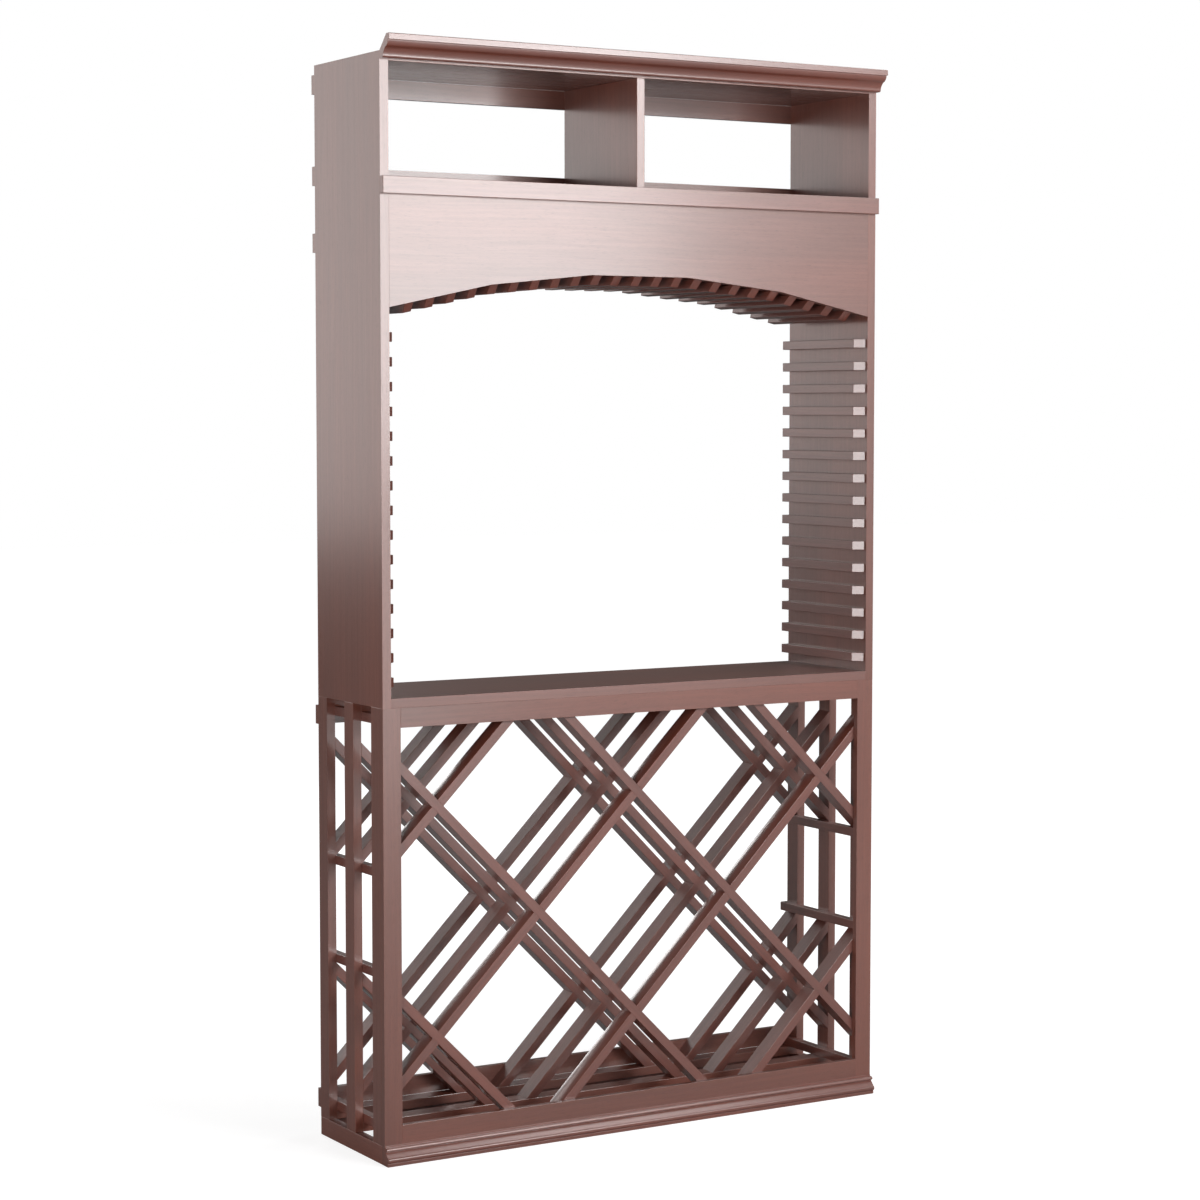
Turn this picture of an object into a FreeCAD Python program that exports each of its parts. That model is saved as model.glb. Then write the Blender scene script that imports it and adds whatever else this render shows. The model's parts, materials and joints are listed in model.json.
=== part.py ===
"""Wine tasting station: a tall open wooden unit with bins for bottles, a slatted alcove and a diamond rack.

+Z is up, +X is to the right as seen from the front, and the front faces -Y.
The origin is on the floor, under the middle of the whole outline.
"""
import FreeCAD, Part
import math
import os
import re
import Sketcher

os.makedirs("parts", exist_ok=True)
doc = FreeCAD.newDocument("WineTastingStation")

# Driving dimensions, in millimetres and degrees
SIZES = {
    # The whole unit
    "overall_width": 1200,          # across the side panels, mouldings and battens
    "panel_depth": 296,             # front to back edge of the boards
    "board": 19,                    # thickness of the main boards
    "thin_board": 13,               # thickness of the face frame, the shelf band and the battens
    "slat_side": 19,                # square section of every slat, rung and rack bar face
    # Heights, from the floor up
    "sill_height": 38,
    "counter_height": 938.5,        # floor to the top of the counter board
    "alcove_height": 773,           # counter board to the ends of the arch
    "valance_height": 236.5,        # ends of the arch to the bin shelf
    "bin_height": 224,              # clear height of the bins
    # Face frame of the lower half
    "face_stile_width": 40,
    "face_rail_height": 78.5,
    "apron_height": 40,
    # Ladder frames and cross rails
    "post_depth": 40,               # front to back size of a stile, a cross rail and a rack bar
    # Bottle rack
    "rack_meeting": 125.4,          # rack's middle to where an outer bar meets the side, up or down
    # Slats of the alcove
    "slat_setback": 7,              # slat ends behind the front edges
    "side_slat_low_gap": 20.5,      # counter board to the lowest slat
    "side_slat_high_gap": 48,       # highest slat to the end of the arch
    "arch_turn": 6,                 # degrees between one facet of the arch and the next
    # Shelf band
    "band_height": 34,
    # Battens across the back
    "batten_height": 39,
    "middle_batten_drop": 78,       # under side of the bin shelf to the middle batten
    # Batten screws
    "screw_length": 38,
    "screw_radius": 2,
    "screw_head_radius": 4,
    "screw_head_depth": 3,
    "screw_spacing": 20,
    # Crown moulding
    "crown_reach": 42,              # how far it stands out in front of the panels
    "crown_height": 45,
    "crown_seat": 15.5,             # height of its flat back on the panel edges
    "crown_nose_reach": 16.5,
    "crown_nose_radius": 8,
    "crown_fascia_height": 12.5,
    "crown_step": 4.5,              # ledge under the fascia
    # Base moulding
    "base_height": 40,
    "base_foot_reach": 13.5,
    "base_groove_reach": 5,
    "base_nose_reach": 10,
    "base_fillet_reach": 1.5,       # narrow flat band along its top
}

# Shares of the mouldings' own sizes
EDGE_ROUND_SHARE = 0.035            # rounded top edge of the crown, of its height
COVE_START_SHARE = 0.035            # where its ogee starts in front of its nose, of its reach
COVE_RISE_SHARE = 0.2               # where its ogee starts above its nose, of the nose's reach
OGEE_REACH_SHARE = 0.45             # where its ogee turns from hollow to full
OGEE_RISE_SHARE = 0.42
BASE_FOOT_SHARE = 0.2               # top of the base moulding's foot, of its height
BASE_BEAD_SHARE = 0.4375            # top of the bead on its foot
BASE_GROOVE_SHARE = 0.68            # groove over the slope above the bead
BASE_NOSE_SHARE = 0.795             # lower edge of the nose over the groove
BASE_EDGE_SHARE = 0.825             # upper edge of the nose
BASE_FILLET_SHARE = 0.915           # lower edge of the flat band
QUARTER_BEND_SHARE = 0.7071         # radius of a quarter circle, of its chord
SHALLOW_BEND_SHARE = 0.95           # radius of each half of the ogee, of its chord
ROUND_BEND_SHARE = 0.52             # radius of the bead, nearly a half circle, of its chord

# Places worked out from the sizes
PLACES = {
    "half_width": "overall_width / 2",
    "inner_half": "half_width - board",
    "front": "(crown_reach - panel_depth - thin_board) / 2",
    "rear": "front + panel_depth",
    "frame_rear": "front + thin_board",
    "counter_under": "counter_height - board",
    "arch_spring": "counter_height + alcove_height",
    "shelf_under": "arch_spring + valance_height",
    "shelf_top": "shelf_under + board",
    "top_under": "shelf_top + bin_height",
    "panel_top": "top_under + board",
    "low_rail_top": "sill_height + board",
    "high_rail_under": "counter_under - board",
    "face_half": "half_width - face_stile_width",
    "middle_post": "(frame_rear + rear - post_depth) / 2",
    "rear_post": "rear - post_depth",
    "rack_middle": "(low_rail_top + high_rail_under) / 2",
    "diamond": "2 * (inner_half + rack_meeting) / 3",
    "rung_shelf": "rack_middle + rack_meeting - slat_side / sqrt(2)",
    "arch_chord": "2 * inner_half / (1 + 2 * cos(arch_turn) + 2 * cos(2 * arch_turn))",
    "side_slat_zone": "alcove_height - side_slat_high_gap - side_slat_low_gap - slat_side",
    "panel_middle": "half_width - board / 2",
    "crown_low": "panel_top - crown_seat",
    "crown_slope": "crown_height - crown_seat",
    "crown_round": f"{EDGE_ROUND_SHARE} * crown_height",
    "fascia_low": "crown_height - crown_fascia_height",
    "ogee_start_reach": f"crown_nose_reach + {COVE_START_SHARE} * crown_reach",
    "ogee_start_rise": f"crown_nose_radius + {COVE_RISE_SHARE} * crown_nose_reach",
    "ogee_end_reach": "crown_reach - crown_step",
    "ogee_turn_reach": f"ogee_start_reach + {OGEE_REACH_SHARE} * (ogee_end_reach - ogee_start_reach)",
    "ogee_turn_rise": f"ogee_start_rise + {OGEE_RISE_SHARE} * (fascia_low - ogee_start_rise)",
    "foot_top": f"{BASE_FOOT_SHARE} * base_height",
    "bead_top": f"{BASE_BEAD_SHARE} * base_height",
    "groove_rise": f"{BASE_GROOVE_SHARE} * base_height",
    "nose_low": f"{BASE_NOSE_SHARE} * base_height",
    "nose_high": f"{BASE_EDGE_SHARE} * base_height",
    "fillet_low": f"{BASE_FILLET_SHARE} * base_height",
}

SIDE_SLATS = 15
ARCH_SLOPES = (2, 1, 0, -1, -2)     # slope of each facet of the arch, in turns
ARCH_SPACES = 24                    # equal spaces along the arch, with a slat between each two
RACK_LINES = (-3, -1, 1, 3)         # middle lines of the rack bars, in half diamonds from its middle
UP_AXIS = "vector(0; 0; 1)"
BACK_AXIS = "vector(0; 1; 0)"
RIGHT_AXIS = "vector(1; 0; 0)"

# The sheet that every size is read from
sheet = doc.addObject("Spreadsheet::Sheet", "Sizes")
for row, (word, number) in enumerate(SIZES.items(), start=1):
    sheet.set(f"A{row}", word)
    sheet.set(f"B{row}", str(number))
    sheet.setAlias(f"B{row}", word)
doc.recompute()

nodes = []


def formula(text):
    """The text with its places written out and its sizes read from the sheet."""
    def spelled_out(found):
        word = found.group()
        if word in PLACES:
            return f"({formula(PLACES[word])})"
        return f"Sizes.{word}" if word in SIZES else word
    return re.sub(r"[a-z][a-z_]*", spelled_out, text)


def value(text):
    """The number that a formula gives now."""
    return float(sheet.evalExpression(formula(text)))


def spot(x, y, z, axis=UP_AXIS, angle="0"):
    """A placement at x, y, z, turned by an angle about an axis."""
    return f"placement(vector({formula(x)}; {formula(y)}; {formula(z)}); rotation({axis}; {formula(angle)}))"


def box(name, length, width, height, placement):
    """A box that is bound to the sheet."""
    piece = doc.addObject("Part::Box", name)
    piece.setExpression("Length", formula(length))
    piece.setExpression("Width", formula(width))
    piece.setExpression("Height", formula(height))
    piece.setExpression("Placement", placement)
    return piece


def group(name, pieces):
    """Separate solids under one name."""
    compound = doc.addObject("Part::Compound", name)
    compound.Links = pieces
    return compound


def cut(name, base, tool):
    """One piece less another."""
    piece = doc.addObject("Part::Cut", name)
    piece.Base = base
    piece.Tool = tool
    return piece


def board(name, x, y, z, length, width, height):
    """A square-edged board as a node of its own, with its low corner at x, y, z."""
    piece = box(name, length, width, height, spot(x, y, z))
    nodes.append(piece)
    return piece


def origin_plane(body, role):
    """One of a body's own origin planes."""
    return next(plane for plane in body.Origin.OriginFeatures if plane.Role == role)


def edge_between(start, end, bend):
    """A line, or an arc of a radius that is a share of its chord, its centre left of a positive bend."""
    if not bend:
        return Part.LineSegment(start, end)
    chord = end - start
    radius = abs(bend) * chord.Length
    rise = math.sqrt(radius ** 2 - (chord.Length / 2) ** 2)
    across = FreeCAD.Vector(-chord.y, chord.x, 0).normalize()
    centre = (start + end) / 2 + across * math.copysign(rise, bend)
    begin, finish = (start, end) if bend > 0 else (end, start)
    angles = [math.atan2(point.y - centre.y, point.x - centre.x) for point in (begin, finish)]
    return Part.ArcOfCircle(Part.Circle(centre, FreeCAD.Vector(0, 0, 1), radius), *angles)


def draw_outline(sketch, corners):
    """Close an outline through corners of (x, y, bend of the edge that leads there), all bound to the sheet."""
    points = [FreeCAD.Vector(value(x), value(y), 0) for x, y, bend in corners]
    starts, ends = [], []
    for index, (x, y, bend) in enumerate(corners):
        edge = sketch.addGeometry(edge_between(points[index - 1], points[index], bend), False)
        starts.append((edge, 1 if bend >= 0 else 2))
        ends.append((edge, 2 if bend >= 0 else 1))
    for index, (x, y, bend) in enumerate(corners):
        following = starts[(index + 1) % len(corners)]
        sketch.addConstraint(Sketcher.Constraint("Coincident", *ends[index], *following))
        for kind, text, number in (("DistanceX", x, points[index].x), ("DistanceY", y, points[index].y)):
            rule = sketch.addConstraint(Sketcher.Constraint(kind, *ends[index], number))
            sketch.setExpression(f"Constraints[{rule}]", formula(text))
        if bend:
            before_x, before_y, before_bend = corners[index - 1]
            run = f"hypot(({x}) - ({before_x}); ({y}) - ({before_y}))"
            chord = (points[index] - points[index - 1]).Length
            rule = sketch.addConstraint(Sketcher.Constraint("Radius", ends[index][0], abs(bend) * chord))
            sketch.setExpression(f"Constraints[{rule}]", formula(f"{abs(bend)} * {run}"))


def padded_body(name, plane, corners, length, placement):
    """A body made by padding one outline, as a node of its own."""
    body = doc.addObject("PartDesign::Body", name)
    sketch = body.newObject("Sketcher::SketchObject", f"{name}_outline")
    sketch.AttachmentSupport = (origin_plane(body, plane), [""])
    sketch.MapMode = "FlatFace"
    draw_outline(sketch, corners)
    pad = body.newObject("PartDesign::Pad", f"{name}_pad")
    pad.Profile = sketch
    pad.setExpression("Length", formula(length))
    body.Tip = pad
    body.setExpression("Placement", placement)
    nodes.append(body)
    return body


# Screws that hold the battens: two at each end, into the edges of the panels and the rear stiles
BATTENS = (
    ("back_batten_top", "top_under - batten_height"),
    ("back_batten_bins", "shelf_top"),
    ("back_batten_arch", "shelf_under - middle_batten_drop - batten_height"),
    ("back_batten_counter", "high_rail_under - batten_height"),
    ("back_batten_base", "low_rail_top"),
)


def batten_screw(name, x, z):
    """A countersunk wood screw, flush with the rear face of a batten."""
    head = doc.addObject("Part::Cone", f"{name}_head")
    head.setExpression("Radius1", formula("screw_head_radius"))
    head.setExpression("Radius2", formula("screw_radius"))
    head.setExpression("Height", formula("screw_head_depth"))
    head.setExpression("Placement", spot(x, "rear + thin_board", z, RIGHT_AXIS, "90"))
    shank = doc.addObject("Part::Cylinder", f"{name}_shank")
    shank.setExpression("Radius", formula("screw_radius"))
    shank.setExpression("Height", formula("screw_length - screw_head_depth"))
    shank.setExpression("Placement", spot(x, "rear + thin_board - screw_head_depth", z, RIGHT_AXIS, "90"))
    screw = doc.addObject("Part::Fuse", name)
    screw.Base = head
    screw.Tool = shank
    return screw


screws = []
for batten, low in BATTENS:
    for side, x in (("left", "-panel_middle"), ("right", "panel_middle")):
        for level, step in (("low", "-"), ("high", "+")):
            z = f"{low} + batten_height / 2 {step} screw_spacing / 2"
            screws.append(batten_screw(f"{batten}_screw_{side}_{level}", x, z))
batten_screws = group("batten_screws", screws)
nodes.append(batten_screws)

for batten, low in BATTENS:
    corner = spot("-half_width", "rear", low)
    blank = box(f"{batten}_blank", "overall_width", "thin_board", "batten_height", corner)
    nodes.append(cut(batten, blank, batten_screws))

# Upper case: side panels, top, bins
for side, x in (("left", "-half_width"), ("right", "inner_half")):
    blank = box(f"side_panel_{side}_blank", "board", "panel_depth", "panel_top - counter_under",
                spot(x, "front", "counter_under"))
    nodes.append(cut(f"side_panel_{side}", blank, batten_screws))
board("top_panel", "-inner_half", "front", "top_under", "2 * inner_half", "panel_depth", "board")
board("bin_shelf", "-inner_half", "front", "shelf_under", "2 * inner_half", "panel_depth", "board")
board("bin_divider", "-board / 2", "front", "shelf_top", "board", "panel_depth", "top_under - shelf_top")
board("shelf_band", "-half_width", "front - thin_board", "shelf_top - band_height",
      "overall_width", "thin_board", "band_height")

# Crown moulding: a nose at the foot, an ogee, and a fascia, with its back sloped at 45 degrees
padded_body("crown_moulding", "YZ_Plane", (
    ("0", "0", 0),
    ("-(crown_nose_reach - crown_nose_radius)", "0", 0),
    ("-crown_nose_reach", "crown_nose_radius", -QUARTER_BEND_SHARE),
    ("-ogee_start_reach", "ogee_start_rise", 0),
    ("-ogee_turn_reach", "ogee_turn_rise", SHALLOW_BEND_SHARE),
    ("-ogee_end_reach", "fascia_low", -SHALLOW_BEND_SHARE),
    ("-crown_reach", "fascia_low", 0),
    ("-crown_reach", "crown_height - crown_round", 0),
    ("-(crown_reach - crown_round)", "crown_height", -QUARTER_BEND_SHARE),
    ("-crown_slope", "crown_height", 0),
    ("0", "crown_seat", 0),
), "overall_width", spot("-half_width", "front", "crown_low"))


def arch_sum(part, facets):
    """How far the first facets of the arch run: part is cos for across and sin for up."""
    return "".join(f" + arch_chord * {part}({slope} * arch_turn)" for slope in ARCH_SLOPES[:facets])


# Arched boards: five equal facets below, the front one seen and the rear one carrying the slats' far ends
knees = [(f"-inner_half{arch_sum('cos', facets)}", f"arch_spring{arch_sum('sin', facets)}", 0)
         for facets in range(len(ARCH_SLOPES))]
knees.append(("inner_half", "arch_spring", 0))
arch_outline = (("-inner_half", "shelf_under", 0), *knees, ("inner_half", "shelf_under", 0))
for name, y in (("arched_valance", "front + board"), ("rear_arch_board", "rear")):
    padded_body(name, "XZ_Plane", arch_outline, "board", spot("0", y, "0"))


def slat(name, placement):
    """A square slat that runs front to back, its front end mitred back from the board that carries it."""
    piece = doc.addObject("Part::Wedge", name)
    ends = {
        "Xmin": "slat_setback", "Xmax": "panel_depth",
        "X2min": "slat_setback + slat_side", "X2max": "panel_depth",
        "Ymin": "0", "Ymax": "slat_side",
        "Zmin": "0", "Zmax": "slat_side", "Z2min": "0", "Z2max": "slat_side",
    }
    for word, text in ends.items():
        piece.setExpression(word, formula(text))
    piece.setExpression("Placement", placement)
    return piece


# Slats under the arch, one group for each facet, each slat turned so that it hangs from its facet
hanging = "placement(vector(0; 0; 0); rotation(vector(-1; -1; 1); 120))"
arch_groups = {facet: [] for facet in range(len(ARCH_SLOPES))}
for number in range(1, ARCH_SPACES):
    facets_along = number * len(ARCH_SLOPES) / ARCH_SPACES
    facet = int(facets_along)
    slope = ARCH_SLOPES[facet]
    knee_x, knee_z, bend = knees[facet]
    along = f"(({number} * {len(ARCH_SLOPES)} / {ARCH_SPACES} - {facet}) * arch_chord + slat_side / 2)"
    corner = spot(f"{knee_x} + {along} * cos({slope} * arch_turn)", "front",
                  f"{knee_z} + {along} * sin({slope} * arch_turn)", BACK_AXIS, f"-({slope} * arch_turn)")
    arch_groups[facet].append(slat(f"arch_slat_{number}", f"{corner} * {hanging}"))
for facet, slats in arch_groups.items():
    nodes.append(group(f"arch_slats_{facet + 1}", slats))

# Slats up the inside of each side panel
SIDES = (
    ("left", "-inner_half", "vector(1; 1; 0)", "180", "slat_side"),
    ("right", "inner_half", UP_AXIS, "90", "0"),
)
for side, x, axis, angle, rise in SIDES:
    slats = []
    for number in range(SIDE_SLATS):
        z = f"counter_height + side_slat_low_gap + {number} * side_slat_zone / {SIDE_SLATS - 1} + {rise}"
        slats.append(slat(f"side_slat_{side}_{number + 1}", spot(x, "front", z, axis, angle)))
    nodes.append(group(f"side_slats_{side}", slats))

# Counter board, face frame and base moulding
board("counter_board", "-inner_half", "front", "counter_under", "2 * inner_half", "panel_depth", "board")
board("face_stile_left", "-half_width", "front", "0", "face_stile_width", "thin_board", "counter_under")
board("face_stile_right", "face_half", "front", "0", "face_stile_width", "thin_board", "counter_under")
board("apron_rail", "-face_half", "front", "counter_under - apron_height",
      "2 * face_half", "thin_board", "apron_height")
board("face_bottom_rail", "-face_half", "front", "0", "2 * face_half", "thin_board", "face_rail_height")

# Base moulding: a foot, a bead on it, a slope, a groove, a nose with a sloped top, and a flat band
padded_body("base_moulding", "YZ_Plane", (
    ("0", "0", 0),
    ("-base_foot_reach", "0", 0),
    ("-base_foot_reach", "foot_top", 0),
    ("-base_foot_reach", "bead_top", -ROUND_BEND_SHARE),
    ("-base_groove_reach", "groove_rise", 0),
    ("-base_nose_reach", "nose_low", 0),
    ("-base_nose_reach", "nose_high", 0),
    ("-base_fillet_reach", "fillet_low", 0),
    ("-base_fillet_reach", "base_height", 0),
    ("0", "base_height", 0),
), "overall_width", spot("-half_width", "front", "0"))

# Ladder frames at the sides of the lower half
POSTS = (("front", "frame_rear"), ("middle", "middle_post"), ("rear", "rear_post"))
for side, x in (("left", "-half_width"), ("right", "inner_half")):
    board(f"side_sill_{side}", x, "frame_rear", "0", "board", "panel_depth - thin_board", "sill_height")
    for post, y in POSTS[:-1]:
        board(f"ladder_stile_{side}_{post}", x, y, "sill_height",
              "board", "post_depth", "counter_under - sill_height")
    blank = box(f"ladder_stile_{side}_rear_blank", "board", "post_depth", "counter_under - sill_height",
                spot(x, "rear_post", "sill_height"))
    nodes.append(cut(f"ladder_stile_{side}_rear", blank, batten_screws))
board("rear_sill", "-inner_half", "rear - board", "0", "2 * inner_half", "board", "sill_height")

# Rungs that run front to back on the inner faces of the stiles, in pairs about the middle of the rack
RUNGS = (
    ("top", "high_rail_under - slat_side"),
    ("upper", "rung_shelf - slat_side"),
    ("lower", "2 * rack_middle - rung_shelf"),
    ("bottom", "low_rail_top"),
)
rungs = [
    board(f"rung_{side}_{level}", x, "frame_rear", z, "slat_side", "panel_depth - thin_board", "slat_side")
    for side, x in (("left", "-inner_half"), ("right", "inner_half - slat_side"))
    for level, z in RUNGS
]

# Cross rails that tie the ladder frames, flat, above the sills and under the counter board
for post, y in POSTS:
    board(f"cross_rail_low_{post}", "-inner_half", y, "sill_height", "2 * inner_half", "post_depth", "board")
    board(f"cross_rail_high_{post}", "-inner_half", y, "high_rail_under", "2 * inner_half", "post_depth", "board")


def rack_bars(name, angle, y, depth):
    """Four bars of the rack, all turned by one angle, long enough to pass right through the rack's space."""
    bars = []
    for index, line in enumerate(RACK_LINES):
        middle = spot("0", y, f"rack_middle + {line} * diamond / 2", BACK_AXIS, angle)
        centred = spot("-overall_width", "0", "-slat_side / 2")
        place = f"{middle} * {centred}"
        bars.append(box(f"{name}_{index + 1}", "2 * overall_width", depth, "slat_side", place))
    return group(name, bars)


# Diamond rack: three layers, each with rising and falling bars halved into each other where they cross.
# The bars fill their layer of the space between the ladder frames and the cross rails, clear of the rungs.
all_rungs = group("all_rungs", rungs)
for post, y in POSTS:
    layer = box(f"rack_layer_{post}", "2 * inner_half", "post_depth", "high_rail_under - low_rail_top",
                spot("-inner_half", y, "low_rail_top"))
    space = cut(f"rack_space_{post}", layer, all_rungs)
    rear_half = f"{y} + post_depth / 2"
    for way, angle, other, other_y in (("rising", "-45", "45", y), ("falling", "45", "-45", rear_half)):
        trimmed = doc.addObject("Part::Common", f"rack_{way}_{post}_trimmed")
        trimmed.Base = rack_bars(f"rack_{way}_{post}_bars", angle, y, "post_depth")
        trimmed.Tool = space
        halvings = rack_bars(f"rack_{way}_{post}_halvings", other, other_y, "post_depth / 2")
        nodes.append(cut(f"rack_{way}_{post}", trimmed, halvings))

doc.recompute()

# Nothing is written unless every object and every piece is sound
for thing in doc.Objects:
    if {"Invalid", "Error"} & set(thing.State):
        raise SystemExit(f"{thing.Label} failed: {thing.State}")
for node in nodes:
    if node.Shape.isNull() or not node.Shape.isValid():
        raise SystemExit(f"{node.Label} has no sound shape")
for node in nodes:
    node.Shape.exportStep(f"parts/{node.Label}.step")
    print(f"{node.Label}: {len(node.Shape.Solids)} solids, {node.Shape.Volume:.0f} mm3")

whole = Part.makeCompound([node.Shape for node in nodes]).BoundBox
print(f"{len(nodes)} nodes, {whole.XLength:.1f} x {whole.YLength:.1f} x {whole.ZLength:.1f} mm")
print(f"X from {whole.XMin:.2f}, Y from {whole.YMin:.2f}, Z from {whole.ZMin:.2f}")
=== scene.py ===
# %% [markdown]
# # A wine tasting station in stained wood
#
# The real piece is a tall open unit: two open bins on top, an alcove lined with slats under an arched
# board, a counter, and a diamond rack below it. Nearly every member is a straight length of red-brown wood
# under a satin varnish. The solids come from the construction model. Here they get their wood, their
# varnish, their eased edges and their light, and the mouldings and screws are modelled again with finer
# curves.

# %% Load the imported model
import json
import math

import bmesh
import bpy
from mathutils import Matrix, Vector

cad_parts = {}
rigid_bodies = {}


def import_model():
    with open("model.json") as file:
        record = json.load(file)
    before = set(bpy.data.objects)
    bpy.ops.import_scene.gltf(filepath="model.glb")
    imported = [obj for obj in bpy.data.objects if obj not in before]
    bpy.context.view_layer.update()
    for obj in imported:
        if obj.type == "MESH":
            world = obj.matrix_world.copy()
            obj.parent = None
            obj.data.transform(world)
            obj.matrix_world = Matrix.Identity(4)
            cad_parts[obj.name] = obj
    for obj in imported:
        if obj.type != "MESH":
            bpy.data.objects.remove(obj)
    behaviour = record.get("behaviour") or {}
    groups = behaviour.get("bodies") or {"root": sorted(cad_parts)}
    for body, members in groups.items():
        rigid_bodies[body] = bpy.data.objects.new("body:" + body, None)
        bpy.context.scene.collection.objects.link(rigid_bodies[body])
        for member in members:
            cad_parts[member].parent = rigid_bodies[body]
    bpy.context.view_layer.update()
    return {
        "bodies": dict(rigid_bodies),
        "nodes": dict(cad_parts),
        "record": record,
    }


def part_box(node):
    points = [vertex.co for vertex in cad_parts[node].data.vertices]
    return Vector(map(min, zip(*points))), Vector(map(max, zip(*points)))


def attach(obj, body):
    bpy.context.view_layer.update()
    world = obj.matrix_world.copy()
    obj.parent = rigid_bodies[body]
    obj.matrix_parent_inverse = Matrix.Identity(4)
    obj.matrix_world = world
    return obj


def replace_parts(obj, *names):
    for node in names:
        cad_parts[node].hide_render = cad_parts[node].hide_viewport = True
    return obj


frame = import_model()
nodes = frame["nodes"]
ours = set(nodes.values()) | set(frame["bodies"].values())
for thing in list(bpy.data.objects):
    if thing not in ours:
        bpy.data.objects.remove(thing)

# %% [markdown]
# ## The camera
#
# The view is from the left of the front, a little above the counter. Lines that are parallel on the piece
# run together slowly in the picture, so the camera stands far off and has a long lens. It could be placed
# by eye, turned and moved until the outlines agree. Here its place and lens were worked out from the
# corners of the unit, because a guess that is a degree off shows in every slat.

# %% Camera
CAMERA_PLACE = Vector((-3.1234, -5.1637, 1.5169))
CAMERA_AIM = Vector((-0.09808, -0.1335, 1.1182))
LENS_MM = 85.47
FAR_ENOUGH = 200

bpy.ops.object.camera_add(location=CAMERA_PLACE)
camera = bpy.context.object
camera.name = "view_from_left"
camera.rotation_euler = (CAMERA_AIM - CAMERA_PLACE).to_track_quat("-Z", "Y").to_euler()
camera.data.lens = LENS_MM
camera.data.clip_end = FAR_ENOUGH
bpy.context.scene.camera = camera
bpy.context.scene.view_settings.view_transform = "Standard"
print("camera", round((CAMERA_AIM - CAMERA_PLACE).length, 3), "m from its aim")

# %% [markdown]
# ## Building shaders with short calls
#
# Every material below is a small network of nodes. It could be wired node by node, with three lines for
# each. One helper here adds a node, sets it and wires it, so that each line of a recipe reads as one step.
# Another one starts a node group with named sockets.

# %% Helpers for shader nodes
def add(tree, kind, inputs=None, **settings):
    """A new node with its settings, and for each named input a plain value or the socket that feeds it."""
    node = tree.nodes.new(kind)
    for name, setting in settings.items():
        setattr(node, name, setting)
    for name, given in (inputs or {}).items():
        if isinstance(given, bpy.types.NodeSocket):
            tree.links.new(given, node.inputs[name])
        else:
            node.inputs[name].default_value = given
    return node


def calculate(tree, operation, first, second):
    """One sum on two values, and the socket with its result."""
    return add(tree, "ShaderNodeMath", {0: first, 1: second}, operation=operation).outputs[0]


def blend_colours(tree, share, first, second):
    """Two colours mixed by a share, and the socket with the result."""
    return add(tree, "ShaderNodeMix", {0: share, 6: first, 7: second}, data_type="RGBA").outputs[2]


def start_group(name, takes, gives):
    """A node group with named sockets: the group, what comes in and what goes out."""
    group = bpy.data.node_groups.new(name, "ShaderNodeTree")
    for label, kind, usual in takes:
        socket = group.interface.new_socket(name=label, in_out="INPUT", socket_type=kind)
        if usual is not None:
            socket.default_value = usual
    for label, kind in gives:
        group.interface.new_socket(name=label, in_out="OUTPUT", socket_type=kind)
    return group, group.nodes.new("NodeGroupInput").outputs, group.nodes.new("NodeGroupOutput").inputs


print("helpers ready")

# %% [markdown]
# ## Grain
#
# The wood is a fine-grained one under a dark red stain. Up close it has three kinds of mark, all drawn out
# along the member: year rings that come to the surface as soft bands, streaks a few millimetres wide where
# the stain took more or less, and hair-thin pores. A picture of wood would show its seams, so the marks are
# made in three dimensions and stretched along the first axis. A board then shows lines on its faces and
# dots on its ends. The same marks also steer the gloss and a very low relief, so that the varnish breaks
# where the pores are.

# %% Node group for the grain
FLOAT, COLOUR, VECTOR = "NodeSocketFloat", "NodeSocketColor", "NodeSocketVector"
# How close each kind of mark lies: along the member first, then across it both ways.
TONES = (1.1, 9.0, 9.0)
STREAKS = (3.4, 175.0, 175.0)
FIBRES = (14.0, 760.0, 760.0)
PORES = (60.0, 1900.0, 1900.0)
RINGS = (0.12, 1.0, 1.0)
RING_SCALE = 26.0
SWAY = (0.0, 0.02, 0.02)
FIBRE_SHARE = 0.3
NOISE_LOW, NOISE_HIGH = 0.3, 0.7
PALEST_TONE, DARKEST_TONE = 1.14, 0.82
PORE_EDGE, PORE_MIDDLE = 0.62, 0.72
PORE_COLOUR = (0.03, 0.008, 0.005, 1)
PORE_ROUGHNESS = 0.2
GLOSS_SWING = 0.07
FIBRE_HEIGHT = 0.6


def stretched_noise(tree, place, stretch, detail, rough):
    """Noise that is finer across the grain than along it, from 0 to 1."""
    spread = add(tree, "ShaderNodeVectorMath", {0: place, 1: stretch}, operation="MULTIPLY")
    noise = add(tree, "ShaderNodeTexNoise", {"Vector": spread.outputs[0], "Scale": 1.0, "Detail": detail,
                                             "Roughness": rough})
    return noise.outputs["Fac"]


grain, takes, gives = start_group(
    "wood_grain",
    [("Place", VECTOR, None), ("Light Wood", COLOUR, (0.2, 0.06, 0.03, 1)),
     ("Dark Wood", COLOUR, (0.08, 0.02, 0.01, 1)), ("Ring Share", FLOAT, 0.3), ("Pore Depth", FLOAT, 0.5),
     ("Gloss Roughness", FLOAT, 0.4)],
    [("Colour", COLOUR), ("Roughness", FLOAT), ("Height", FLOAT)])
waver = add(grain, "ShaderNodeTexNoise", {"Vector": takes["Place"], "Scale": 2.2, "Detail": 1.0})
sway = add(grain, "ShaderNodeVectorMath", {0: waver.outputs["Color"], 1: SWAY}, operation="MULTIPLY")
place = add(grain, "ShaderNodeVectorMath", {0: takes["Place"], 1: sway.outputs[0]},
            operation="ADD").outputs[0]
tone = stretched_noise(grain, place, TONES, detail=2.0, rough=0.5)
streaks = stretched_noise(grain, place, STREAKS, detail=4.0, rough=0.65)
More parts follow.
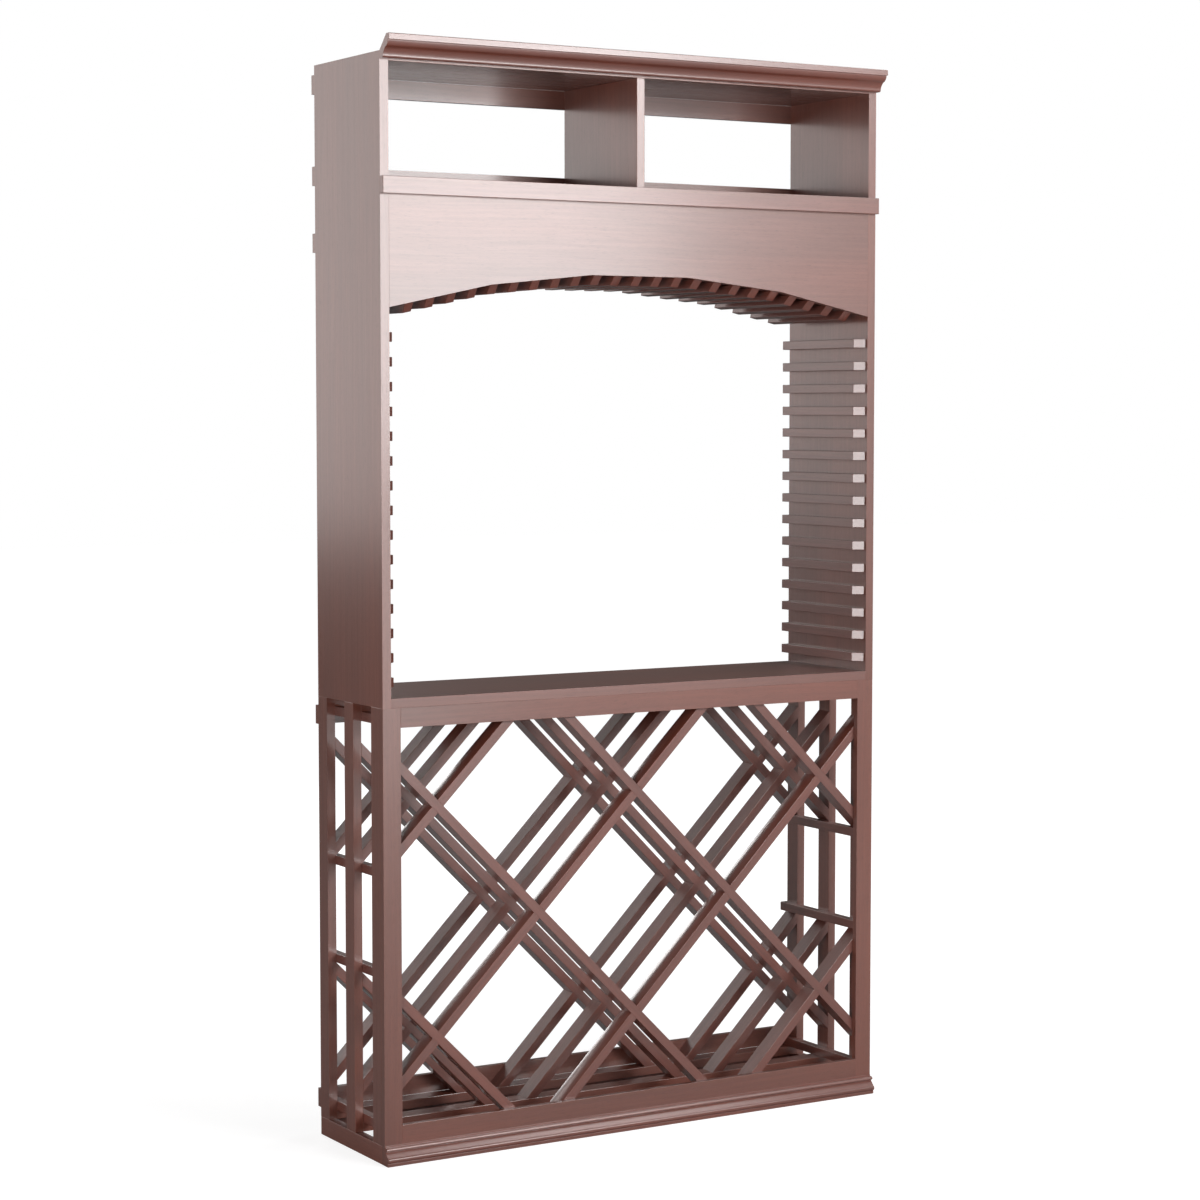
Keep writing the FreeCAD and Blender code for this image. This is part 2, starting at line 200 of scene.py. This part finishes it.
fibres = stretched_noise(grain, place, FIBRES, detail=3.0, rough=0.6)
pores = stretched_noise(grain, place, PORES, detail=1.0, rough=0.5)
ring_place = add(grain, "ShaderNodeVectorMath", {0: place, 1: RINGS}, operation="MULTIPLY").outputs[0]
rings = add(grain, "ShaderNodeTexWave",
            {"Vector": ring_place, "Scale": RING_SCALE, "Distortion": 2.5, "Detail": 3.0, "Detail Scale": 6.0,
             "Detail Roughness": 0.6},
            wave_type="RINGS", rings_direction="X").outputs["Fac"]
marks = add(grain, "ShaderNodeMix", {0: takes["Ring Share"], 2: streaks, 3: rings},
            data_type="FLOAT").outputs[0]
marks = add(grain, "ShaderNodeMix", {0: FIBRE_SHARE, 2: marks, 3: fibres}, data_type="FLOAT").outputs[0]
share = add(grain, "ShaderNodeMapRange",
            {"Value": marks, "From Min": NOISE_LOW, "From Max": NOISE_HIGH}).outputs[0]
wood = blend_colours(grain, share, takes["Dark Wood"], takes["Light Wood"])
level = add(grain, "ShaderNodeMapRange",
            {"Value": tone, "From Min": NOISE_LOW, "From Max": NOISE_HIGH, "To Min": DARKEST_TONE,
             "To Max": PALEST_TONE}).outputs[0]
wood = add(grain, "ShaderNodeVectorMath", {0: wood, "Scale": level}, operation="SCALE").outputs[0]
open_pores = add(grain, "ShaderNodeMapRange",
                 {"Value": pores, "From Min": PORE_EDGE, "From Max": PORE_MIDDLE}).outputs[0]
pore_share = calculate(grain, "MULTIPLY", open_pores, takes["Pore Depth"])
wood = blend_colours(grain, pore_share, wood, PORE_COLOUR)
rougher = add(grain, "ShaderNodeMapRange",
              {"Value": marks, "To Min": GLOSS_SWING, "To Max": -GLOSS_SWING}).outputs[0]
roughness = calculate(grain, "ADD", takes["Gloss Roughness"], rougher)
roughness = calculate(grain, "ADD", roughness, calculate(grain, "MULTIPLY", pore_share, PORE_ROUGHNESS))
height = calculate(grain, "SUBTRACT", calculate(grain, "MULTIPLY", fibres, FIBRE_HEIGHT), pore_share)
for label, result in (("Colour", wood), ("Roughness", roughness), ("Height", height)):
    grain.links.new(result, gives[label])
print("grain:", len(grain.nodes), "nodes")

# %% [markdown]
# ## Edges that hands and cloths rub
#
# On a finished piece the stain is thinnest on the edges, where the sanding block went over the corner. A
# Bevel node looks a short way round each point: where its rounded normal leaves the true one, there is an
# edge. The difference, broken up by a little noise, is the share of the paler colour. It could be painted
# on each piece by hand, but this finds every edge of all the members by itself.

# %% Node group for rubbed edges
FLAT_FROM, EDGE_FROM = 0.99, 0.8
PATCHES = (40.0, 90.0, 90.0)
UNTOUCHED, WORN = 0.3, 0.65

rub, takes, gives = start_group(
    "rubbed_edges",
    [("Place", VECTOR, None), ("Reach", FLOAT, 0.002), ("Strength", FLOAT, 1.0)],
    [("Share", FLOAT)])
rounded = add(rub, "ShaderNodeBevel", {"Radius": takes["Reach"]}, samples=4)
true_normal = add(rub, "ShaderNodeNewGeometry").outputs["Normal"]
agree = add(rub, "ShaderNodeVectorMath", {0: rounded.outputs[0], 1: true_normal}, operation="DOT_PRODUCT")
edge = add(rub, "ShaderNodeMapRange",
           {"Value": agree.outputs["Value"], "From Min": FLAT_FROM, "From Max": EDGE_FROM}).outputs[0]
patchy = stretched_noise(rub, takes["Place"], PATCHES, detail=2.0, rough=0.6)
patches = add(rub, "ShaderNodeMapRange",
              {"Value": patchy, "From Min": UNTOUCHED, "From Max": WORN}).outputs[0]
rubbed = calculate(rub, "MULTIPLY", edge, patches)
rub.links.new(calculate(rub, "MULTIPLY", rubbed, takes["Strength"]), gives["Share"])
print("rubbed edges:", len(rub.nodes), "nodes")

# %% [markdown]
# ## The varnished woods
#
# All members have the same stain, but a panel, a frame member, a moulding and a slat were cut from
# different boards. Each finish has its own two colours and its own gloss. The grain follows the length of
# the member, so each finish is made once for each way that members run, with the pattern turned by a
# Mapping node. Under the varnish the stained wood is fairly dull. The varnish itself is the coat, which is
# smoother than the wood. On the counter, where things slide and cloths wipe, the coat is duller than
# elsewhere.

# %% Wood materials
FINISHES = {
    "board_wood": {"light": (0.158, 0.037, 0.0185, 1), "dark": (0.114, 0.024, 0.0108, 1),
                   "rings": 0.09, "rough": 0.5, "coat": 0.2},
    "counter_wood": {"light": (0.158, 0.037, 0.0185, 1), "dark": (0.114, 0.024, 0.0108, 1),
                     "rings": 0.12, "rough": 0.55, "coat": 0.35},
    "frame_wood": {"light": (0.16, 0.038, 0.019, 1), "dark": (0.116, 0.025, 0.0115, 1),
                   "rings": 0.08, "rough": 0.5, "coat": 0.2},
    "moulding_wood": {"light": (0.16, 0.035, 0.018, 1), "dark": (0.112, 0.022, 0.01, 1),
                      "rings": 0.08, "rough": 0.48, "coat": 0.2},
    "slat_wood": {"light": (0.155, 0.033, 0.017, 1), "dark": (0.098, 0.0185, 0.0085, 1),
                  "rings": 0.08, "rough": 0.5, "coat": 0.2},
}
QUARTER = math.pi / 2
TURNS = {
    "across": (0.0, 0.0, 0.0),
    "deep": (0.0, 0.0, -QUARTER),
    "upright": (0.0, QUARTER, 0.0),
    "rising": (0.0, QUARTER / 2, 0.0),
    "falling": (0.0, -QUARTER / 2, 0.0),
}
SHIFT_STEP = Vector((1.7, 0.31, 0.47))
RUBBED_COLOUR = (0.26, 0.09, 0.055, 1)
RUBBED_REACH, RUBBED_STRENGTH = 0.0018, 0.45
RELIEF_DEPTH, RELIEF_STRENGTH = 0.0003, 0.25
woods = {}


def varnished_wood(finish, way):
    """The material for one finish whose grain runs one way, made when it is first asked for."""
    name = f"{finish}_{way}"
    if name in woods:
        return woods[name]
    made = bpy.data.materials.new(name)
    made.use_nodes = True
    tree = made.node_tree
    shader = tree.nodes["Principled BSDF"]
    look = FINISHES[finish]
    shift = SHIFT_STEP * (len(woods) + 1)
    spot = add(tree, "ShaderNodeTexCoord").outputs["Object"]
    turned = add(tree, "ShaderNodeMapping",
                 {"Vector": spot, "Location": shift, "Rotation": TURNS[way]}).outputs[0]
    figure = add(tree, "ShaderNodeGroup", node_tree=grain)
    edges = add(tree, "ShaderNodeGroup", node_tree=rub)
    for group in (figure, edges):
        tree.links.new(turned, group.inputs["Place"])
    figure.inputs["Light Wood"].default_value = look["light"]
    figure.inputs["Dark Wood"].default_value = look["dark"]
    figure.inputs["Ring Share"].default_value = look["rings"]
    figure.inputs["Gloss Roughness"].default_value = look["rough"]
    edges.inputs["Reach"].default_value = RUBBED_REACH
    edges.inputs["Strength"].default_value = RUBBED_STRENGTH
    colour = blend_colours(tree, edges.outputs["Share"], figure.outputs["Colour"], RUBBED_COLOUR)
    relief = add(tree, "ShaderNodeBump",
                 {"Strength": RELIEF_STRENGTH, "Distance": RELIEF_DEPTH, "Height": figure.outputs["Height"]})
    tree.links.new(colour, shader.inputs["Base Color"])
    tree.links.new(figure.outputs["Roughness"], shader.inputs["Roughness"])
    tree.links.new(relief.outputs[0], shader.inputs["Normal"])
    shader.inputs["Specular IOR Level"].default_value = 1.0
    shader.inputs["Coat Weight"].default_value = 1.0
    shader.inputs["Coat Roughness"].default_value = look["coat"]
    woods[name] = made
    return made


WAYS = {
    "across": ("top_panel", "bin_shelf", "shelf_band", "arched_valance", "rear_arch_board", "counter_board",
               "apron_rail", "face_bottom_rail", "rear_sill", "cross_rail_", "back_batten_", "crown_moulding",
               "base_moulding"),
    "deep": ("arch_slats_", "side_slats_", "rung_", "side_sill_"),
    "upright": ("side_panel_", "bin_divider", "face_stile_", "ladder_stile_"),
    "rising": ("rack_rising_",),
    "falling": ("rack_falling_",),
}
slot_of = {row["node"]: row["material_slot"] for row in frame["record"]["subparts"]}


def way_of(name):
    """The way that a node's grain runs, by the start of its name."""
    return next(way for way, starts in WAYS.items() if name.startswith(starts))


for name, node in nodes.items():
    if name == "batten_screws":
        continue
    finish = varnished_wood("counter_wood" if name == "counter_board" else slot_of[name], way_of(name))
    node.data.materials.clear()
    node.data.materials.append(finish)
print("woods:", ", ".join(sorted(woods)))

# %% [markdown]
# ## Eased edges
#
# No real edge is as sharp as a drawn one. The joiner takes it off with a block: less than half a millimetre
# where two members meet flush, and twice that on the other boards and slats. That narrow band catches the
# light as a thin bright line. The solids stay as they are. Three modifiers do the work on each: Weld joins
# the loose triangles, Decimate clears the lines inside flat faces, and Bevel rounds what is left.

# %% Modifiers on the solids
FINE, PLAIN = 0.0004, 0.0008
EASE_STEPS = 2
SAME_CORNER = 0.00001
FLAT_ANGLE, EDGE_ANGLE = math.radians(0.5), math.radians(30)
FLUSH_MEMBERS = ("face_", "apron_rail", "counter_board", "arched_valance", "rear_arch_board", "rack_")


def ease_edges(piece, width):
    """Rounds the edges of a piece and leaves its mesh as it is."""
    weld = piece.modifiers.new("joined_corners", "WELD")
    weld.merge_threshold = SAME_CORNER
    clear = piece.modifiers.new("clear_faces", "DECIMATE")
    clear.decimate_type = "DISSOLVE"
    clear.angle_limit = FLAT_ANGLE
    round_off = piece.modifiers.new("eased_edges", "BEVEL")
    round_off.width = width
    round_off.segments = EASE_STEPS
    round_off.limit_method = "ANGLE"
    round_off.angle_limit = EDGE_ANGLE


for name, node in nodes.items():
    if name not in ("crown_moulding", "base_moulding", "batten_screws"):
        ease_edges(node, FINE if name.startswith(FLUSH_MEMBERS) else PLAIN)
sample = nodes["side_panel_left"].evaluated_get(bpy.context.evaluated_depsgraph_get())
print("eased; side_panel_left now has", len(sample.data.polygons), "faces")

# %% [markdown]
# ## The mouldings
#
# A moulding is one outline drawn out along its length, as the cutter of a moulding plane leaves it. It
# could be a curve with a profile, but then every rounding has to be drawn point by point. Here it is
# modelled as it is cut: a disc with as many corners as the outline, each corner moved to its place, the
# corners that the cutter rounds bevelled one by one, and the finished outline extruded across the unit.
# This gives smooth coves and beads, where the solids have a few flat strips.

# %% A moulding from its outline
MM_PER_METRE = 1000
DISC_RADIUS, PICK_REACH = 0.05, 0.0002
ROUNDING_STEPS = 10
MOULDING_EDGE_ANGLE, SMOOTH_ANGLE = math.radians(32), math.radians(28)


def deselect_all():
    """Leaves nothing selected, so that an operator can only act on what comes next."""
    if bpy.context.mode != "OBJECT":
        bpy.ops.object.mode_set(mode="OBJECT")
    bpy.ops.object.select_all(action="DESELECT")


def pick_point(piece, point):
    """Selects the vertices of a piece in edit mode that lie at a point, and nothing else."""
    bpy.ops.mesh.select_all(action="DESELECT")
    mesh = bmesh.from_edit_mesh(piece.data)
    for vertex in mesh.verts:
        vertex.select = (vertex.co - point).length < PICK_REACH
    mesh.select_flush_mode()
    bmesh.update_edit_mesh(piece.data)


def moulding(name, corners, foot, length):
    """A moulding from corners of (reach in front, rise, rounding) in mm, with its back at foot."""
    deselect_all()
    bpy.ops.mesh.primitive_circle_add(vertices=len(corners), radius=DISC_RADIUS, fill_type="NGON")
    piece = bpy.context.object
    piece.name = name
    places = [foot + Vector((0, -reach, rise)) / MM_PER_METRE for reach, rise, rounding in corners]
    starts = [vertex.co.copy() for vertex in piece.data.vertices]
    bpy.ops.object.mode_set(mode="EDIT")
    bpy.ops.mesh.select_mode(type="VERT")
    for start, there in zip(starts, places):
        pick_point(piece, start)
        bpy.ops.transform.translate(value=there - start)
    for there, (reach, rise, rounding) in zip(places, corners):
        if rounding:
            pick_point(piece, there)
            bpy.ops.mesh.bevel(offset=rounding / MM_PER_METRE, segments=ROUNDING_STEPS, affect="VERTICES")
    bpy.ops.mesh.select_all(action="SELECT")
    bpy.ops.mesh.extrude_region_move(TRANSFORM_OT_translate={"value": (length, 0, 0)})
    bpy.ops.mesh.select_all(action="SELECT")
    bpy.ops.mesh.normals_make_consistent(inside=False)
    bpy.ops.object.mode_set(mode="OBJECT")
    ease = piece.modifiers.new("eased_edges", "BEVEL")
    ease.width, ease.segments = FINE, EASE_STEPS
    ease.limit_method, ease.angle_limit = "ANGLE", MOULDING_EDGE_ANGLE
    bpy.ops.object.modifier_apply(modifier=ease.name)
    bpy.ops.object.shade_smooth_by_angle(angle=SMOOTH_ANGLE)
    level = piece.modifiers.new("level_faces", "WEIGHTED_NORMAL")
    level.keep_sharp = True
    bpy.ops.object.modifier_apply(modifier=level.name)
    return piece


print("moulding tools ready, each rounding in", ROUNDING_STEPS, "steps")

# %% The crown and the base
CROWN_CORNERS = (
    (0, 0, 0), (16.5, 0, 4.4), (16.6, 4.6, 0), (18.4, 17.0, 11.5), (35.9, 23.0, 9.4),
    (37.5, 32.9, 0), (42, 32.9, 0), (42, 45, 1.5), (29.5, 45, 0), (0, 15.5, 0))
BASE_CORNERS = (
    (0, 0, 0), (13.5, 0, 0), (13.5, 6.6, 0), (12.0, 8.0, 0), (17.1, 8.0, 3.6), (17.1, 17.5, 3.6),
    (13.5, 17.5, 0), (4.2, 28.1, 0.4), (10, 31.2, 0.5), (10, 36.6, 4.4),
    (1.5, 36.8, 0), (1.5, 40, 0.5), (0, 40, 0))
END_PLAY = 0.00002
for node_name, corners in (("crown_moulding", CROWN_CORNERS), ("base_moulding", BASE_CORNERS)):
    low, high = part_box(node_name)
    foot = Vector((low.x + END_PLAY, high.y, low.z))
    piece = moulding(f"{node_name}_run", corners, foot, high.x - low.x - 2 * END_PLAY)
    piece.data.materials.append(varnished_wood(slot_of[node_name], "across"))
    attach(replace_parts(piece, node_name), "root")
    sides = [round(side * MM_PER_METRE, 1) for side in piece.dimensions]
    print(piece.name, len(piece.data.polygons), "faces,", sides)

# %% [markdown]
# ## Batten screws
#
# The battens are held by countersunk wood screws, two at each end. First comes their metal: steel with a
# thin layer of zinc, which is grey and slightly cloudy. An even grey would look like paint, so one fine
# noise varies both the colour and the gloss. Zinc is blotchy at random, and the noise is the same in all
# directions.

# %% Steel
STEEL_CLOUDS = (900.0, 900.0, 900.0)
DARK_ZINC, PALE_ZINC = (0.34, 0.33, 0.31, 1), (0.62, 0.6, 0.55, 1)
BRIGHT_ZINC_ROUGHNESS, DULL_ZINC_ROUGHNESS = 0.28, 0.5

steel = bpy.data.materials.new("screw_steel_zinc")
steel.use_nodes = True
tree = steel.node_tree
spot = add(tree, "ShaderNodeTexCoord").outputs["Object"]
dull = stretched_noise(tree, spot, STEEL_CLOUDS, detail=3.0, rough=0.6)
shade = blend_colours(tree, dull, DARK_ZINC, PALE_ZINC)
shader = tree.nodes["Principled BSDF"]
tree.links.new(shade, shader.inputs["Base Color"])
zinc_roughness = add(tree, "ShaderNodeMapRange",
                     {"Value": dull, "To Min": BRIGHT_ZINC_ROUGHNESS, "To Max": DULL_ZINC_ROUGHNESS})
tree.links.new(zinc_roughness.outputs[0], shader.inputs["Roughness"])
shader.inputs["Metallic"].default_value = 1.0
print("steel:", len(tree.nodes), "nodes")

# %% [markdown]
# ## One screw
#
# A countersunk head is a flat cone with a cross cut into it, and the cross narrows towards the shank. The
# head starts as a cone at its real size. The shank is extruded from its small end and drawn to a point. The
# cross could be cut with insets, but they leave a tangle of faces round it. Two bars that narrow inwards,
# taken out with a Boolean modifier, leave it clean.

# %% One screw
HEAD_RADIUS, SHANK_RADIUS, HEAD_DEPTH, SCREW_LENGTH = 0.004, 0.002, 0.003, 0.038
CROSS_LENGTH, CROSS_WIDTH, CROSS_DEPTH, TIP_LENGTH = 0.0046, 0.0011, 0.0019, 0.006
HEAD_SIDES = 32
FACING_DOWN = -0.9
CROSS_TAPER, TIP_TAPER = (0.35, 0.7, 1), (0.12, 0.12, 1)


def pick_faces(piece, wanted):
    """Selects the faces of a piece in edit mode that pass a test, and nothing else."""
    bpy.ops.mesh.select_mode(type="FACE")
    bpy.ops.mesh.select_all(action="DESELECT")
    mesh = bmesh.from_edit_mesh(piece.data)
    for face in mesh.faces:
        face.select = wanted(face)
    mesh.select_flush_mode()
    bmesh.update_edit_mesh(piece.data)


def apply_all(piece):
    """Puts a piece's place, turn and size into its mesh."""
    deselect_all()
    piece.select_set(True)
    bpy.context.view_layer.objects.active = piece
    bpy.ops.object.transform_apply(location=True, rotation=True, scale=True)


def cross_bar(turn):
    """One bar of the cross: a block whose inner end is narrowed, standing in the middle of the head."""
    deselect_all()
    bpy.ops.mesh.primitive_cube_add(size=1)
    bar = bpy.context.object
    bar.scale = (CROSS_LENGTH, CROSS_WIDTH, 2 * CROSS_DEPTH)
    apply_all(bar)
    bpy.ops.object.mode_set(mode="EDIT")
    pick_faces(bar, lambda face: face.normal.z < FACING_DOWN)
    bpy.ops.transform.resize(value=CROSS_TAPER)
    bpy.ops.object.mode_set(mode="OBJECT")
    bar.rotation_euler.z = turn
    apply_all(bar)
    return bar


deselect_all()
bpy.ops.mesh.primitive_cone_add(vertices=HEAD_SIDES, radius1=SHANK_RADIUS, radius2=HEAD_RADIUS,
                                depth=HEAD_DEPTH, location=(0, 0, -HEAD_DEPTH / 2))
screw = bpy.context.object
apply_all(screw)
bpy.ops.object.mode_set(mode="EDIT")
pick_faces(screw, lambda face: face.normal.z < FACING_DOWN)
bpy.ops.mesh.extrude_region_move(
    TRANSFORM_OT_translate={"value": (0, 0, -(SCREW_LENGTH - HEAD_DEPTH - TIP_LENGTH))})
bpy.ops.mesh.extrude_region_move(TRANSFORM_OT_translate={"value": (0, 0, -TIP_LENGTH)})
bpy.ops.transform.resize(value=TIP_TAPER)
bpy.ops.object.mode_set(mode="OBJECT")
for turn in (0, QUARTER):
    bar = cross_bar(turn)
    deselect_all()
    screw.select_set(True)
    bpy.context.view_layer.objects.active = screw
    bite = screw.modifiers.new("cross", "BOOLEAN")
    bite.operation, bite.solver, bite.object = "DIFFERENCE", "EXACT", bar
    bpy.ops.object.modifier_apply(modifier=bite.name)
    bpy.data.objects.remove(bar)
screw.data.materials.append(steel)
sides = [round(side * MM_PER_METRE, 1) for side in screw.dimensions]
print("one screw:", len(screw.data.polygons), "faces,", sides)

# %% [markdown]
# ## Twenty screws in their places
#
# Each end of each batten has two screws, one above the other, in the middle of the side panel's thickness.
# All of them are copies of the one screw, each with its own mesh. A hand driver stops where it stops, so
# each copy is turned a little further than the last. The copies are joined, because the solids also have
# one node for all the screws.

# %% Copies of the screw
SCREW_SPACING = 0.02
NEXT_TURN = 0.37
panel_middle = (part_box("side_panel_right")[0].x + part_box("side_panel_right")[1].x) / 2
copies = []
for name in sorted(nodes):
    if not name.startswith("back_batten_"):
        continue
    low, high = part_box(name)
    middle = (low.z + high.z) / 2
    for x in (-panel_middle, panel_middle):
        for z in (middle - SCREW_SPACING / 2, middle + SCREW_SPACING / 2):
            deselect_all()
            screw.select_set(True)
            bpy.context.view_layer.objects.active = screw
            bpy.ops.object.duplicate(linked=False)
            copy = bpy.context.object
            copy.rotation_euler = (-QUARTER, NEXT_TURN * len(copies), 0)
            copy.location = (x, high.y, z)
            apply_all(copy)
            copies.append(copy)
bpy.data.objects.remove(screw)
deselect_all()
for copy in copies:
    copy.select_set(True)
bpy.context.view_layer.objects.active = copies[0]
bpy.ops.object.join()
screws = bpy.context.object
screws.name = "batten_screws_cross_head"
bpy.ops.object.shade_smooth_by_angle(angle=EDGE_ANGLE)
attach(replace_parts(screws, "batten_screws"), "root")
print(screws.name, len(screws.data.polygons), "faces,", [round(side, 4) for side in screws.dimensions])

# %% [markdown]
# ## Floor and background
#
# The unit stands in a white studio. White walls and a white floor round it would be the plain way, but they
# would lie in the varnish, and the wood would wash out where the counter and the boards mirror what is
# behind them at a flat angle. So the floor and the background are white to the camera alone, through the
# Light Path node. Mirrored rays see a dim and slightly warm grey. The floor's own colour is a plain grey,
# which takes the unit's shadow.

# %% Floor
WHITE = (1, 1, 1, 1)
FLOOR_REACH = 24.0
FLOOR_DROP = 0.0005
FLOOR_GREY, FLOOR_ROUGHNESS = (0.35, 0.35, 0.35, 1), 0.9
SHADE_REACH, WHITE_REACH = 0.6, 3.5
NEAR_GLOW, FAR_GLOW = 0.82, 1.0
bpy.ops.mesh.primitive_plane_add(size=2 * FLOOR_REACH, location=(0, 0, -FLOOR_DROP))
floor = bpy.context.object
floor.name = "studio_floor"
pale = bpy.data.materials.new("pale_floor")
pale.use_nodes = True
tree = pale.node_tree
shader = tree.nodes["Principled BSDF"]
shader.inputs["Base Color"].default_value = FLOOR_GREY
shader.inputs["Roughness"].default_value = FLOOR_ROUGHNESS
seen = add(tree, "ShaderNodeLightPath").outputs["Is Camera Ray"]
shader.inputs["Emission Color"].default_value = WHITE
spot = add(tree, "ShaderNodeTexCoord").outputs["Object"]
away = add(tree, "ShaderNodeVectorMath", {0: spot}, operation="LENGTH").outputs["Value"]
glow = add(tree, "ShaderNodeMapRange",
           {"Value": away, "From Min": SHADE_REACH, "From Max": WHITE_REACH, "To Min": NEAR_GLOW,
            "To Max": FAR_GLOW},
           interpolation_type="SMOOTHSTEP").outputs[0]
tree.links.new(calculate(tree, "MULTIPLY", seen, glow), shader.inputs["Emission Strength"])
floor.data.materials.append(pale)
print("floor", 2 * FLOOR_REACH, "m wide, glow", NEAR_GLOW, "to", FAR_GLOW)

# %% Background
AROUND, SEEN_WHITE, IN_GLOSS = 0.005, 1.0, 0.12
MIRRORED_TINT = (1, 0.86, 0.8, 1)
world = bpy.data.worlds.new("white_studio")
world.use_nodes = True
bpy.context.scene.world = world
tree = world.node_tree
tree.nodes.clear()
path = add(tree, "ShaderNodeLightPath").outputs
mirrored = calculate(tree, "MAXIMUM", path["Is Glossy Ray"], path["Is Transmission Ray"])
strength = add(tree, "ShaderNodeMix", {0: mirrored, 2: AROUND, 3: IN_GLOSS}, data_type="FLOAT").outputs[0]
strength = add(tree, "ShaderNodeMix", {0: path["Is Camera Ray"], 2: strength, 3: SEEN_WHITE},
               data_type="FLOAT").outputs[0]
tint = blend_colours(tree, mirrored, WHITE, MIRRORED_TINT)
studio = add(tree, "ShaderNodeBackground", {"Color": tint, "Strength": strength})
add(tree, "ShaderNodeOutputWorld", {"Surface": studio.outputs[0]})
print("background", SEEN_WHITE, "to the camera,", IN_GLOSS, "in the varnish")

# %% [markdown]
# ## Soft boxes
#
# A satin varnish shows the lamps more than it shows the wood, so each lamp is placed for the face that
# mirrors it. A large soft box to the right of the camera lies in the upper left of the front as a pale
# sheen, which fades across and down. Another one far behind lies in the side panel in the same way. A
# smaller one at the left meets the cut ends of the slats, and one overhead draws the bright lines on the
# base moulding. The rest fill in, most of them far weaker. A single lamp or an even sky would light the
# wood too, but without the sheen that tells the eye where the faces turn.

# %% Nine soft boxes
def soft_box(name, place, aim, size, power, colour=(1, 1, 1)):
    """A rectangular area lamp that points at a place and that the camera doesn't see."""
    bpy.ops.object.light_add(type="AREA", location=place)
    lamp = bpy.context.object
    lamp.name = name
    lamp.rotation_euler = (Vector(aim) - Vector(place)).to_track_quat("-Z", "Y").to_euler()
    lamp.data.shape = "RECTANGLE"
    lamp.data.size, lamp.data.size_y = size
    lamp.data.energy = power
    lamp.data.color = colour
    lamp.visible_camera = False


soft_box("front_box", (1.5, -4.2, 2.4), (1.5, 0, 2.4), (2.3, 2.14), 171)
soft_box("front_box_low", (0.9, -4.2, 0.7), (0.9, 0, 0.7), (1.7, 1.2), 18)
soft_box("front_box_right", (4.0, -4.2, 1.9), (4.0, 0, 1.9), (2.6, 3.2), 5)
soft_box("front_box_corner", (2.75, -4.1, 3.1), (2.75, 0, 3.1), (1.3, 1.1), 28)
soft_box("left_box", (-3.6, -3.05, 1.2), (0.55, -0.12, 1.25), (1.0, 1.8), 80)
soft_box("side_box", (-4.8, -1.3, 1.2), (-0.6, 0, 1.2), (2.6, 2.2), 47)
soft_box("top_box", (2.75, -0.6, 4.6), (2.05, -0.6, 0), (3.6, 1.4), 92)
soft_box("back_left_box", (-4.0, 7.0, 2.68), (-0.6, 0, 2.68), (3.5, 3.6), 71, (1.0, 0.93, 0.91))
soft_box("back_box", (0.45, 5.3, 1.7), (0.1, 0.16, 1.3), (2.0, 2.4), 66)
print("nine soft boxes")
